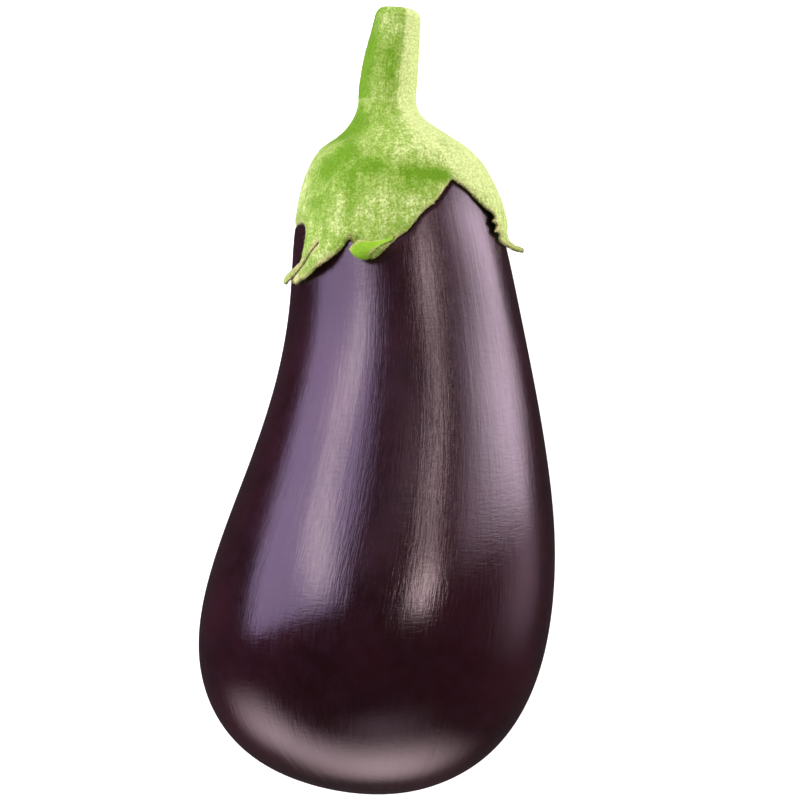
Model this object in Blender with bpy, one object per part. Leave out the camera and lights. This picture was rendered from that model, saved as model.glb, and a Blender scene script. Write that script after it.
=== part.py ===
"""A globe eggplant lying on its side: fruit, calyx and stem, each one closed solid.

Metres, +Z up. The length runs along Y, with the blossom end at -Y and the stem end at +Y.
The origin is the middle of the flat spot that the fruit rests on.

Each solid starts as a UV sphere. Every vertex keeps its two angles, and a function of those
angles says where it goes: "polar" runs from 0 at one pole to 180 degrees at the other, and
"around" is the angle about the length, 0 at the top and 90 degrees at +X.
"""

import math

import bmesh
import bpy
from mathutils import Vector

MM = 0.001

# Fruit, in millimetres. A station stands at every 20 degrees of polar angle from the blossom end.
# It holds the section's half width over the sine of that angle, and the section's middle, as its
# place along X and its height above the resting plane.
BLOSSOM_END_Y = -70.8
STEM_END_Y = 96.0
FRUIT_STATIONS = (
    (62.8, -1.0, 41.0),
    (65.6, -4.1, 43.0),
    (59.3, -5.1, 45.5),
    (51.7, -4.0, 44.6),
    (42.0, 1.1, 39.0),
    (34.6, 4.7, 33.2),
    (32.6, 4.7, 31.0),
    (39.9, 2.0, 30.8),
    (51.8, 2.6, 30.4),
    (108.4, 2.1, 30.0),
)
DEPTH_TO_WIDTH = 0.96
NORMAL_STEP = 0.5
FRUIT_SEGMENTS = 48
FRUIT_RINGS = 28

# Calyx. A margin point is an angle around and how far the sepals reach there, in degrees of the
# fruit's polar angle from the stem end: a notch, a tip, a notch and so on for the five lobes.
# The collar is the undivided part round the crown, and its rings are plain circles. The crown
# is the flat-topped boss in its middle that the stem stands on.
CALYX_MARGIN = (
    (-26.0, 47.0),
    (-13.0, 54.0),
    (41.0, 32.0),
    (80.0, 49.0),
    (118.0, 34.0),
    (152.0, 53.0),
    (188.0, 35.0),
    (222.0, 52.0),
    (268.0, 42.0),
    (290.0, 56.0),
)
COLLAR_ANGLE = 14.0
COLLAR_SHARE = 0.5
CALYX_GAP = 0.5
CALYX_THICKNESS = 1.0
CALYX_EDGE = 0.15
CROWN_HEIGHT = 7.6
CROWN_ANGLE = 7.0
CROWN_STEEPNESS = 6
CROWN_LEAN = -2.2
CROWN_TOP_Y = 103.6
CALYX_SEGMENTS = 60
CALYX_RINGS = 24

# Stem, in millimetres, from the crown of the calyx to its cut end.
STEM_GAP = 0.3
STEM_BASE = (-0.2, 30.0)
STEM_LENGTH = 27.9
STEM_LEAN = 3.2
STEM_RISE = 1.0
STEM_BASE_RADIUS = 7.6
STEM_FLARE = 0.8
STEM_FLARE_SHARE = 0.15
STEM_END_RADIUS = 5.6
STEM_RIB = 0.04
STEM_RIBS = 5
STEM_EDGE = 1.6
STEM_FOOT_POLAR = 15.0
STEM_CAP_POLAR = 140.0
STEM_SEGMENTS = 30
STEM_RINGS = 14

# Skin colour, calyx green and stem green, as linear red, green, blue and opacity.
SKIN_COLOUR = (0.018, 0.005, 0.012, 1.0)
CALYX_COLOUR = (0.42, 0.60, 0.16, 1.0)
STEM_COLOUR = (0.36, 0.55, 0.12, 1.0)


def clear_scene():
    for thing in list(bpy.data.objects):
        bpy.data.objects.remove(thing, do_unlink=True)


def along(values, share):
    """A cubic B-spline over evenly spaced values, level at both ends; share runs from 0 to 1."""
    last = len(values) - 1
    place = min(max(share, 0.0), 1.0) * last
    first = min(int(place), last - 1)
    f = place - first
    weights = (
        (1 - f) ** 3 / 6,
        (3 * f**3 - 6 * f**2 + 4) / 6,
        (-3 * f**3 + 3 * f**2 + 3 * f + 1) / 6,
        f**3 / 6,
    )
    total = 0.0
    for step, weight in enumerate(weights):
        index = abs(first - 1 + step)
        if index > last:
            index = 2 * last - index
        total += weight * values[index]
    return total


def fruit_point(polar, around):
    """The fruit's surface in millimetres; both angles are in degrees, polar 0 at the blossom end."""
    share = polar / 180.0
    fullness, middle_x, middle_z = (along(column, share) for column in zip(*FRUIT_STATIONS))
    half_width = fullness * math.sin(math.radians(polar))
    y = BLOSSOM_END_Y + (STEM_END_Y - BLOSSOM_END_Y) * (1 - math.cos(math.radians(polar))) / 2
    turn = math.radians(around)
    return Vector((
        middle_x + half_width * math.sin(turn),
        y,
        middle_z + half_width * DEPTH_TO_WIDTH * math.cos(turn),
    ))


def off_fruit(polar, around, lift):
    """A point the given distance outside the fruit's surface."""
    normal = Vector((0.0, 1.0, 0.0))
    if polar < 180.0 - NORMAL_STEP:
        forward = fruit_point(polar + NORMAL_STEP, around) - fruit_point(polar, around)
        sideways = fruit_point(polar, around + NORMAL_STEP) - fruit_point(polar, around)
        normal = sideways.cross(forward).normalized()
    return fruit_point(polar, around) + normal * lift


def sepal_reach(around):
    """How far the calyx reaches from the stem end at an angle around, in polar degrees."""
    start_angle, start_reach = CALYX_MARGIN[-1]
    start_angle -= 360.0
    turned = (around - start_angle) % 360.0 + start_angle
    for end_angle, end_reach in CALYX_MARGIN:
        if turned <= end_angle:
            u = (turned - start_angle) / (end_angle - start_angle)
            return start_reach + (end_reach - start_reach) * u * u * (3 - 2 * u)
        start_angle, start_reach = end_angle, end_reach
    return start_reach


def calyx_point(polar, around):
    """The calyx is a sphere folded over the fruit: outer side, margin, then inner side."""
    outside = polar >= 90.0
    share = (180.0 - polar) / 90.0 if outside else polar / 90.0
    if share < COLLAR_SHARE:
        from_stem_end = COLLAR_ANGLE * share / COLLAR_SHARE
    else:
        past_collar = (share - COLLAR_SHARE) / (1.0 - COLLAR_SHARE)
        from_stem_end = COLLAR_ANGLE + (sepal_reach(around) - COLLAR_ANGLE) * past_collar
    if not outside:
        return off_fruit(180.0 - from_stem_end, around, CALYX_GAP)
    crown = 1 / (1 + (from_stem_end / CROWN_ANGLE) ** CROWN_STEEPNESS)
    thickness = CALYX_THICKNESS * min(1.0, (1.0 - share) / CALYX_EDGE)
    point = off_fruit(180.0 - from_stem_end, around, CALYX_GAP + thickness + CROWN_HEIGHT * crown)
    point.x += CROWN_LEAN * crown
    point.y = min(point.y, CROWN_TOP_Y)
    return point


def stem_point(polar, around):
    """The stem: a flat foot, ribbed tapering sides that lean towards +X, and a rounded cut end."""
    edge_share = STEM_EDGE / STEM_LENGTH
    if polar <= STEM_FOOT_POLAR:
        share = 0.0
        rim = polar / STEM_FOOT_POLAR
    elif polar < STEM_CAP_POLAR:
        share = (1.0 - edge_share) * (polar - STEM_FOOT_POLAR) / (STEM_CAP_POLAR - STEM_FOOT_POLAR)
        rim = 1.0
    else:
        turned_in = math.radians(90.0) * (180.0 - polar) / (180.0 - STEM_CAP_POLAR)
        share = 1.0 - edge_share * (1 - math.cos(turned_in))
        rim = math.sin(turned_in)
    radius = STEM_BASE_RADIUS + (STEM_END_RADIUS - STEM_BASE_RADIUS) * share
    radius += STEM_FLARE * max(0.0, 1.0 - share / STEM_FLARE_SHARE) ** 2
    radius *= rim * (1 + STEM_RIB * math.cos(math.radians(STEM_RIBS * around)))
    turn = math.radians(around)
    return Vector((
        STEM_BASE[0] + STEM_LEAN * share**1.5 + radius * math.sin(turn),
        CROWN_TOP_Y + STEM_GAP + STEM_LENGTH * share,
        STEM_BASE[1] + STEM_RISE * share + radius * math.cos(turn),
    ))


def face_outwards(shape):
    bmesh.ops.recalc_face_normals(shape, faces=shape.faces)
    if shape.calc_volume(signed=True) < 0:
        bmesh.ops.reverse_faces(shape, faces=shape.faces)


def wrapped_sphere(name, segments, rings, place):
    """A UV sphere along Y, each vertex moved to place(polar, around)."""
    mesh = bpy.data.meshes.new(name)
    shape = bmesh.new()
    bmesh.ops.create_uvsphere(shape, u_segments=segments, v_segments=rings, radius=1.0)
    for vertex in shape.verts:
        x, y, z = vertex.co
        polar = math.degrees(math.acos(min(max(z, -1.0), 1.0)))
        around = math.degrees(math.atan2(x, y))
        vertex.co = place(180.0 - polar, around) * MM
    face_outwards(shape)
    shape.to_mesh(mesh)
    shape.free()
    mesh.shade_smooth()
    return bpy.data.objects.new(name, mesh)


def press_flat(thing):
    """Slices off what lies under the resting plane and closes the cut with a flat face."""
    shape = bmesh.new()
    shape.from_mesh(thing.data)
    everything = shape.verts[:] + shape.edges[:] + shape.faces[:]
    cut = bmesh.ops.bisect_plane(
        shape,
        geom=everything,
        dist=1e-7,
        plane_co=(0.0, 0.0, 0.0),
        plane_no=(0.0, 0.0, -1.0),
        clear_outer=True,
    )
    rim = [item for item in cut["geom_cut"] if isinstance(item, bmesh.types.BMEdge)]
    bmesh.ops.contextual_create(shape, geom=rim)
    face_outwards(shape)
    shape.to_mesh(thing.data)
    shape.free()


def plain_material(name, colour, roughness):
    material = bpy.data.materials.new(name)
    material.use_nodes = True
    shader = material.node_tree.nodes["Principled BSDF"]
    shader.inputs["Base Color"].default_value = colour
    shader.inputs["Roughness"].default_value = roughness
    shader.inputs["Metallic"].default_value = 0.0
    material.diffuse_color = colour
    return material


def make_fruit():
    fruit = wrapped_sphere("fruit", FRUIT_SEGMENTS, FRUIT_RINGS, fruit_point)
    press_flat(fruit)
    fruit.data.materials.append(plain_material("eggplant_skin", SKIN_COLOUR, 0.22))
    return fruit


def make_calyx():
    calyx = wrapped_sphere("calyx", CALYX_SEGMENTS, CALYX_RINGS, calyx_point)
    calyx.data.materials.append(plain_material("calyx_green", CALYX_COLOUR, 0.6))
    return calyx


def make_stem():
    stem = wrapped_sphere("stem", STEM_SEGMENTS, STEM_RINGS, stem_point)
    stem.data.materials.append(plain_material("stem_green", STEM_COLOUR, 0.6))
    return stem


def main():
    clear_scene()
    eggplant = bpy.data.collections.new("eggplant")
    bpy.context.scene.collection.children.link(eggplant)
    for part in (make_fruit(), make_calyx(), make_stem()):
        eggplant.objects.link(part)


main()
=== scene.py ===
"""The looks of a globe eggplant on its side: dark glossy skin, a downy green calyx whose five ragged
sepals clasp the shoulder, and a ribbed stem with a cut end.

Shapes are in millimetres of the fruit in the CAD model, and the frame's own fruit gives their scale.
A place on the fruit is two angles in degrees. "polar" runs from 0 at the blossom end to 180 at the
stem end, and "around" turns about the length, 0 at the top and 90 at +X. "reach" is 180 - polar, how
far the calyx has come down from the stem. The calyx's flat pattern, and the widths on it, are in
degrees of reach, about a millimetre each.
"""

import math

import bmesh
import bpy
import numpy as np
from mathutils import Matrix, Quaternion, Vector, geometry, noise


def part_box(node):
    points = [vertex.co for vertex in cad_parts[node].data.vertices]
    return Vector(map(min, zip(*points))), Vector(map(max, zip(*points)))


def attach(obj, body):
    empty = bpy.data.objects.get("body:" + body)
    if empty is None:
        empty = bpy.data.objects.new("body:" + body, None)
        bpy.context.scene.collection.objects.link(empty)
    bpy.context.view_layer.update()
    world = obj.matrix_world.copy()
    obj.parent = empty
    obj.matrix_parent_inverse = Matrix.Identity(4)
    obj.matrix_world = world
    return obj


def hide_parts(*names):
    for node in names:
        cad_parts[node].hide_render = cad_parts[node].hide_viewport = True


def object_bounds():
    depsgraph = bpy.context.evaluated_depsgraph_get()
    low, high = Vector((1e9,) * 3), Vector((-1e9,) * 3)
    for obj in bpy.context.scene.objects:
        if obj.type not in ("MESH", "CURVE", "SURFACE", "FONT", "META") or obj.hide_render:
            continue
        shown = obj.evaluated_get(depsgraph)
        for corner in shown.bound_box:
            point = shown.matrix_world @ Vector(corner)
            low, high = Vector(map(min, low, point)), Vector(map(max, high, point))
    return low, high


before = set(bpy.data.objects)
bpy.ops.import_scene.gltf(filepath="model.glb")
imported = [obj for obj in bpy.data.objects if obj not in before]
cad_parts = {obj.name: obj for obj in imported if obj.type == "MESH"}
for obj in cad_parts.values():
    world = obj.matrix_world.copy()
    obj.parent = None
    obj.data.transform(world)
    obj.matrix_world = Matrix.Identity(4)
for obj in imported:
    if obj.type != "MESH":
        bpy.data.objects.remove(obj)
cad_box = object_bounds()

# Fruit. A station stands at every 20 degrees of polar angle, and holds the section's half width
# over the sine of that angle, and its middle along X and above the resting plane.
FRUIT_LENGTH = 166.8
BLOSSOM_END_Y = -70.8
STATION_FULLNESS = (62.8, 65.6, 59.3, 51.7, 42.0, 34.6, 32.6, 39.9, 51.8, 108.4)
STATION_MIDDLE_X = (-1.0, -4.1, -5.1, -4.0, 1.1, 4.7, 4.7, 2.0, 2.6, 2.1)
STATION_MIDDLE_Z = (41.0, 43.0, 45.5, 44.6, 39.0, 33.2, 31.0, 30.8, 30.4, 30.0)
DEPTH_TO_WIDTH = 0.96
FRUIT_SEGMENTS = 240
FRUIT_RINGS = 250
# Slow swells of the skin: their height, how close they lie round it, and their length.
UNDULATION = 0.24
UNDULATION_TURNS = 2.6
UNDULATION_LENGTH = 33.0
# The blossom end's scar fades out between two shares of its radius, and the bloom near the calyx
# between two reaches.
SCAR_RADIUS = 4.2
SCAR_DEPTH = 1.1
SCAR_FADES = (0.3, 0.75)
BLOOM_FADES = (60.0, 84.0)

# Calyx. Each sepal's margin runs from one notch to the next, as (around, reach).
SEPALS = {
    "forked": (
        (-100.0, 43.0), (-84.0, 42.4), (-70.0, 42.0), (-62.5, 42.6), (-59.0, 44.6),
        (-58.2, 47.0), (-59.4, 49.4), (-63.4, 51.6), (-70.0, 52.7), (-76.0, 53.7),
        (-78.6, 54.7), (-78.4, 55.8), (-76.8, 56.1), (-74.6, 55.5), (-71.4, 54.9),
        (-67.5, 54.2), (-62.0, 52.9), (-52.0, 50.7), (-44.2, 47.8), (-45.4, 48.9),
        (-52.0, 51.4), (-59.0, 53.5), (-62.6, 54.9), (-63.2, 55.9), (-61.0, 56.3),
        (-57.0, 55.6), (-53.0, 55.2), (-48.3, 54.6), (-42.6, 53.3), (-37.6, 52.0),
        (-33.2, 50.5), (-29.9, 48.8), (-26.8, 47.2), (-24.0, 46.6),
    ),
    "folded": (
        (-24.0, 46.6), (-21.9, 48.0), (-23.2, 49.6), (-25.8, 51.2), (-27.8, 53.2),
        (-28.9, 55.2), (-29.2, 56.8), (-28.0, 57.7), (-25.6, 57.6), (-22.6, 56.6),
        (-19.9, 54.8), (-15.2, 52.8), (-10.4, 50.9), (-5.1, 48.7), (-1.0, 46.9),
        (4.0, 45.4), (11.7, 41.6), (22.5, 37.2), (31.5, 32.2), (37.0, 30.0),
    ),
    "ragged": (
        (37.0, 30.0), (41.5, 31.6), (48.5, 34.0), (53.5, 36.4), (58.5, 38.4),
        (63.2, 39.9), (64.8, 41.2), (60.2, 42.2), (63.8, 43.2), (60.8, 44.8),
        (66.4, 45.3), (65.6, 46.8), (72.0, 47.7), (76.0, 48.8), (79.4, 49.9),
        (80.6, 49.2), (78.0, 47.8), (76.4, 46.6), (77.4, 45.4), (82.0, 44.2),
        (88.0, 42.8), (95.0, 41.6), (101.0, 39.4), (109.0, 37.0), (118.0, 34.6),
    ),
    "broad": (
        (118.0, 34.6), (124.0, 37.6), (132.0, 42.6), (140.0, 47.4), (147.0, 52.0),
        (152.0, 54.6), (155.0, 54.2), (158.0, 50.8), (164.0, 46.0), (172.0, 41.0),
        (180.0, 37.4), (188.0, 35.4),
    ),
    "plain": (
        (188.0, 35.4), (194.0, 38.6), (202.0, 44.0), (210.0, 49.0), (217.0, 53.6),
        (221.0, 54.6), (224.0, 53.0), (231.0, 49.0), (240.0, 45.6), (250.0, 43.6),
        (260.0, 43.0),
    ),
}
MARGIN_SAMPLES = 5
MARGIN_SEED = 7
MARGIN_RAGGEDNESS = 0.36
MARGIN_TOOTH = 1.3
# The calyx is made as a flat pattern of triangles round an open eye for the stem.
PATTERN_EYE = 9.0
PATTERN_EYE_CORNERS = 96
PATTERN_PITCH = 0.85
PATTERN_CLEARANCE = 0.45
# How far it stands off the fruit, at even steps of reach up to LIFT_REACH. It ends before
# FARTHEST_REACH, and from FLARE_REACH it flares up the side of the stem.
CALYX_LIFT = (4.2, 2.6, 1.5, 0.95, 0.9, 0.9, 0.9)
LIFT_REACH = 60.0
FARTHEST_REACH = 65.0
FLARE_REACH = 14.0
FLARE_SHOULDER = 8.0
FLARE_LOPSIDED = 1.2
FLARE_NECK = 4.4
NECK_LOPSIDED = 2.2
# Where the calyx stands higher or lower than CALYX_LIFT: (around, reach), half width across, half
# width along, and height.
SWELLS = (
    ((80.0, 37.0), 18.0, 11.0, 1.35),
    ((80.0, 16.0), 30.0, 6.0, -0.8),
    ((62.0, 43.0), 6.0, 4.0, 0.8),
    ((-84.0, 41.0), 20.0, 7.0, -0.75),
    ((-43.0, 53.0), 13.0, 7.0, 2.4),
    ((-14.0, 51.0), 9.0, 6.0, 1.0),
    ((152.0, 51.0), 14.0, 9.0, 0.9),
    ((221.0, 52.0), 14.0, 8.0, 0.8),
)
# Tips and edges that bend up off the fruit. "stretch" is the outline of the part that bends, and
# "fade" is how softly the bend starts inside it. The tip bends at "hinge" and points to "target".
# "bow" is the radius of the hinge's own curve, and "kept" the share of the length kept past the turn.
FOLDS = (
    {
        "stretch": (
            (-62.0, 44.0), (-44.3, 48.2), (-52.0, 51.0), (-60.0, 53.5),
            (-66.0, 55.0), (-70.0, 62.0), (-96.0, 70.0), (-96.0, 50.0),
        ),
        "fade": 0.0,
        "hinge": (-61.0, 51.3),
        "target": (-80.0, 57.5),
        "radius": 24.0,
        "turn": 24.0,
        "bow": 60.0,
        "kept": 1.0,
    },
    {
        "stretch": (
            (-44.3, 48.2), (-52.0, 51.0), (-60.0, 53.5), (-66.0, 55.0),
            (-70.0, 64.0), (-50.0, 64.0), (-36.0, 54.0), (-36.0, 47.0),
        ),
        "fade": 0.0,
        "hinge": (-50.5, 53.0),
        "target": (-65.0, 56.6),
        "radius": 16.0,
        "turn": 22.0,
        "bow": 60.0,
        "kept": 1.0,
    },
    {
        "stretch": (
            (-8.0, 44.0), (-24.5, 46.9), (-29.0, 50.0), (-35.0, 52.6),
            (-42.0, 55.4), (-52.0, 70.0), (-4.0, 70.0), (4.0, 50.0),
        ),
        "fade": 0.0,
        "hinge": (-18.1, 49.8),
        "target": (-34.0, 55.9),
        "radius": 1.35,
        "turn": 208.0,
        "bow": 4.2,
        "kept": 0.6,
    },
    {
        "stretch": ((62.0, 45.5), (66.0, 60.0), (92.0, 70.0), (84.0, 46.6), (74.0, 45.0)),
        "fade": 1.2,
        "hinge": (70.0, 46.6),
        "target": (80.0, 49.8),
        "radius": 5.0,
        "turn": 70.0,
        "bow": 60.0,
        "kept": 1.0,
    },
)
BOW_SHARE = 0.95
SHEET_THICKNESS = 1.15
MARGIN_THICKNESS = 0.6
MARGIN_TAPER = 1.8
# Where the green is deeper (below 0) or paler: a place, half width across, half width along, and how
# much. Most are the green's own patches, and some are painted light and painted shade. The calyx's
# places are (around, reach), and the stem's (around, share of its length).
CALYX_TONES_AND_PAINTED_LIGHT = (
    # Painted light: the calyx's right flank is made paler, as if lit from the right.
    ((70.0, 24.0), 38.0, 16.0, 1.7),
    ((20.0, 14.0), 14.0, 6.0, 0.6),
    ((-38.0, 20.0), 11.0, 5.0, -1.3),
    ((-48.0, 26.5), 9.0, 4.0, -1.1),
    ((-16.0, 26.0), 9.0, 3.0, -1.1),
    ((11.0, 29.0), 13.0, 3.0, -1.3),
    ((27.0, 29.5), 8.0, 2.6, -1.4),
    ((9.0, 33.5), 9.0, 1.8, -0.6),
    # Painted shade: the calyx's left side near the stem is made a deeper green.
    ((-58.0, 9.0), 22.0, 6.0, -1.5),
    ((-49.0, 36.0), 8.0, 4.5, -0.6),
    ((-26.0, 39.0), 3.0, 8.0, -0.4),
    ((-33.0, 41.0), 2.4, 6.0, 0.35),
    ((-31.0, 31.0), 6.0, 5.0, -0.8),
    ((-18.0, 32.0), 7.0, 4.0, -0.4),
    ((40.0, 24.5), 9.0, 3.5, 0.6),
    ((-74.0, 31.0), 9.0, 8.0, 0.3),
    ((-8.0, 35.5), 8.0, 4.0, 0.4),
    ((-22.0, 46.0), 22.0, 5.0, 0.1),
    ((14.0, 40.0), 16.0, 2.6, 0.3),
    ((-64.0, 46.0), 16.0, 8.0, -0.25),
    ((86.0, 42.0), 14.0, 5.0, 0.1),
    ((150.0, 24.0), 16.0, 8.0, -0.6),
    ((-150.0, 28.0), 18.0, 8.0, -0.6),
)
STEM_TONES_AND_PAINTED_LIGHT = (
    # Painted light: the stem's right side is made paler.
    ((80.0, 0.5), 40.0, 1.2, 0.5),
    ((12.0, 0.63), 9.0, 0.07, -0.5),
    ((-45.0, 0.42), 18.0, 0.2, -0.5),
    ((-2.0, 0.5), 9.0, 0.06, -0.8),
    ((2.0, 0.28), 11.0, 0.14, -1.0),
    # Painted shade: the stem's left side is made a deeper green.
    ((-84.0, 0.35), 34.0, 0.8, -2.2),
    ((-30.0, 0.82), 24.0, 0.14, 0.25),
    ((170.0, 0.5), 30.0, 1.0, -0.5),
)
# The stem's paler side, a painted highlight, starts at a ridge, fades out round the back, and ends on
# the calyx.
FACET_PAINTED_HIGHLIGHT = 1.05
FACET_EDGE = 7.0
FACET_FADES = (110.0, 150.0)
FACET_ENDS = (5.0, 17.0)

# Down: how many hairs, and their size, scatter and lowest rise.
DOWN_SEED = 11
DOWN_ON_CALYX = 30000
DOWN_ON_STEM = 6000
DOWN_THICKNESS = 0.075
DOWN_LENGTHS = (0.4, 1.0)
DOWN_SPREAD = 0.4
DOWN_RISE = 0.08
DOWN_LOWEST = 0.05
HAIR_CORNERS = 4

# The skin under the calyx is pressed in a little. The press fades out between two reaches.
SKIN_PRESS = 1.0
SKIN_PRESS_WIDTH = 1.1
PRESS_ENDS = (44.0, 49.0)

# Stem, from the seam where it leaves the calyx to the cut.
SEAM_Y = 107.2
STEM_END_Y = 130.6
STEM_RADII = (7.55, 7.5, 7.35, 7.2, 6.95, 6.6, 6.25, 5.95, 5.75)
STEM_MIDDLE_X = (-0.2, -0.05, 0.2, 0.55, 1.0, 1.5, 2.0, 2.45, 2.75)
STEM_MIDDLE_Z = (30.0, 30.0, 30.1, 30.2, 30.4, 30.6, 30.8, 31.0, 31.1)
STEM_RIDGE_AROUND = 24.0
STEM_RIDGES = 5
STEM_RIDGE = 0.055
STEM_RIDGE_STARTS = (-0.1, 0.3)
STEM_ROOT = 5.0
STEM_ROOT_TAPER = 0.5
STEM_CUT_SLANT = 0.09
STEM_CUT_EDGE = 2.6
STEM_CUT_ROUNDING = 0.7
STEM_CUT_STEPS = 10
STEM_CUT_SHARPNESS = 4
STEM_CUT_RINGS = (0.85, 0.7, 0.5, 0.3, 0.12)
STEM_SEGMENTS = 120
STEM_RINGS = 90
STEM_BARE_RINGS = STEM_RINGS // 4

HALF_TURN = 180.0
FULL_TURN = 360.0
ANGLE_STEP = 0.05
LENGTHWISE = np.array((0.0, 1.0, 0.0))
CROSSWISE = np.array((1.0, 0.0, 1.0))

fruit_low, fruit_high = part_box("fruit")
MM = (fruit_high.y - fruit_low.y) / FRUIT_LENGTH
cad_middle = (cad_box[0] + cad_box[1]) / 2


# --- shapes -------------------------------------------------------------------------------------


def along(values, share):
    """Reads a smooth curve near a row of values at shares 0 to 1 of its length, level at its ends."""
    values = np.asarray(values, dtype=float)
    last = len(values) - 1
    place = np.clip(share, 0.0, 1.0) * last
    first = np.minimum(place.astype(int), last - 1)
    part = place - first
    weights = (
        (1 - part) ** 3,
        3 * part**3 - 6 * part**2 + 4,
        -3 * part**3 + 3 * part**2 + 3 * part + 1,
        part**3,
    )
    total = 0.0
    for step, weight in enumerate(weights):
        index = np.abs(first - 1 + step)
        index = np.where(index > last, 2 * last - index, index)
        total = total + weight / 6 * values[index]
    return total


def ease(low, high, value):
    """0 below low, 1 above high, and a smooth step between."""
    part = np.clip((value - low) / (high - low), 0.0, 1.0)
    return part * part * (3 - 2 * part)


def unit(vectors):
    """The vectors at a length of 1."""
    return vectors / np.linalg.norm(vectors, axis=-1, keepdims=True)


def wander(points):
    """Smooth noise from about -1 to 1, one value for each point."""
    return np.array([noise.noise(Vector(point)) for point in points])


def fruit_point(polar, around, press=0.0):
    """The fruit's surface in millimetres, with its half width pressed in by so many of them."""
    share = polar / HALF_TURN
    half_width = along(STATION_FULLNESS, share) * np.sin(np.radians(polar)) - press
    turn = np.radians(around)
    return np.stack(
        [
            along(STATION_MIDDLE_X, share) + half_width * np.sin(turn),
            BLOSSOM_END_Y + FRUIT_LENGTH * (1 - np.cos(np.radians(polar))) / 2,
            along(STATION_MIDDLE_Z, share) + half_width * DEPTH_TO_WIDTH * np.cos(turn),
        ],
        axis=-1,
    )


def fruit_normal(polar, around):
    """The direction straight out of the fruit's surface."""
    forward = fruit_point(polar + ANGLE_STEP, around) - fruit_point(polar - ANGLE_STEP, around)
    sideways = fruit_point(polar, around + ANGLE_STEP) - fruit_point(polar, around - ANGLE_STEP)
    return unit(np.cross(sideways, forward))


def stem_point(around, share, radius_share=1.0):
    """The stem's side at an angle around and a share of the way from the seam to the cut.

    The radius is multiplied by radius_share.
    """
    turn = np.radians(around)
    from_ridge = np.radians(STEM_RIDGES * (around - STEM_RIDGE_AROUND))
    ridge = STEM_RIDGE * (0.5 + 0.5 * np.cos(from_ridge)) ** 2 - STEM_RIDGE / 3
    radius = along(STEM_RADII, share) * (1 + ridge * ease(*STEM_RIDGE_STARTS, share)) * radius_share
    slant = STEM_CUT_SLANT * share * radius * np.sin(turn)
    return np.stack(
        [
            along(STEM_MIDDLE_X, share) + radius * np.sin(turn),
            SEAM_Y + (STEM_END_Y - SEAM_Y) * share - slant,
            along(STEM_MIDDLE_Z, share) + radius * np.cos(turn),
        ],
        axis=-1,
    )


def on_pattern(around, reach):
    """Where a place on the calyx lies when the calyx is laid out flat round its eye."""
    turn = np.radians(around)
    spread = reach + PATTERN_EYE
    return np.stack([spread * np.sin(turn), spread * np.cos(turn)], axis=-1)


def off_pattern(flat):
    """The angle around and the reach of a place on the flat pattern."""
    around = np.degrees(np.arctan2(flat[:, 0], flat[:, 1]))
    return around, np.hypot(flat[:, 0], flat[:, 1]) - PATTERN_EYE


def smooth_run(points):
    """A smooth curve through flat points, with sharp ends."""
    points = np.asarray(points)
    padded = np.vstack([2 * points[0] - points[1], points, 2 * points[-1] - points[-2]])
    run = []
    for before, start, end, after in zip(padded, padded[1:], padded[2:], padded[3:]):
        for step in range(MARGIN_SAMPLES):
            part = step / MARGIN_SAMPLES
            run.append(
                start
                + part / 2 * (end - before)
                + part**2 / 2 * (2 * before - 5 * start + 4 * end - after)
                + part**3 / 2 * (3 * start - before - 3 * end + after)
            )
    return np.array(run)


def calyx_margin():
    """The calyx's closed outline on the flat pattern, with small teeth."""
    noise.seed_set(MARGIN_SEED)
    runs = []
    for margin in SEPALS.values():
        around, reach = np.array(margin).T
        runs.append(smooth_run(on_pattern(around, reach)))
    outline = np.vstack(runs)
    tooth = [noise.noise_vector(Vector((x, y, 0.0)) / MARGIN_TOOTH) for x, y in outline]
    return outline + MARGIN_RAGGEDNESS * np.array(tooth)[:, :2]


def inside_margin(flat, outline):
    """How far inside the outline each flat point lies, below 0 outside it."""
    run = np.roll(outline, -1, axis=0) - outline
    length_squared = (run**2).sum(axis=1)
    nearest = np.full(len(flat), np.inf)
    crossings = np.zeros(len(flat), dtype=int)
    for corner, step, squared in zip(outline, run, length_squared):
        offset = flat - corner
        part = np.clip(offset @ step / squared, 0.0, 1.0)
        nearest = np.minimum(nearest, np.linalg.norm(offset - part[:, None] * step, axis=1))
        straddles = (offset[:, 1] < 0) != (offset[:, 1] < step[1])
        with np.errstate(divide="ignore", invalid="ignore"):
            crossed = offset[:, 0] < step[0] * offset[:, 1] / step[1]
        crossings += straddles & crossed
    return np.where(crossings % 2 == 1, nearest, -nearest)


def fold(points, hinge, forward, up, radius, turn, bow, kept):
    """Bends the points ahead of a hinge up round a radius, and then straight on once they have turned.

    The hinge's middle is an arc whose radius is the bow, so that the fold has a rounded nose. Past the
    turn, a share of the length is kept.
    """
    sideways = (points - hinge) @ np.cross(up, forward)
    back = bow - np.sqrt(bow**2 - np.minimum(np.abs(sideways), bow * BOW_SHARE) ** 2)
    ahead = (points - hinge) @ forward + back
    above = (points - hinge) @ up
    angle = np.clip(ahead / radius, 0.0, turn)
    beyond = kept * np.maximum(ahead - radius * turn, 0.0)
    bent_ahead = (radius - above) * np.sin(angle) + beyond * np.cos(angle)
    bent_above = radius - (radius - above) * np.cos(angle) + beyond * np.sin(angle)
    moved = points + np.outer(bent_ahead - ahead, forward) + np.outer(bent_above - above, up)
    return np.where((ahead > 0)[:, None], moved, points)


# --- pieces -------------------------------------------------------------------------------------


def add_object(name, data):
    """Puts a mesh, a lamp or a camera in the scene."""
    made = bpy.data.objects.new(name, data)
    bpy.context.scene.collection.objects.link(made)
    return made


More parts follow.
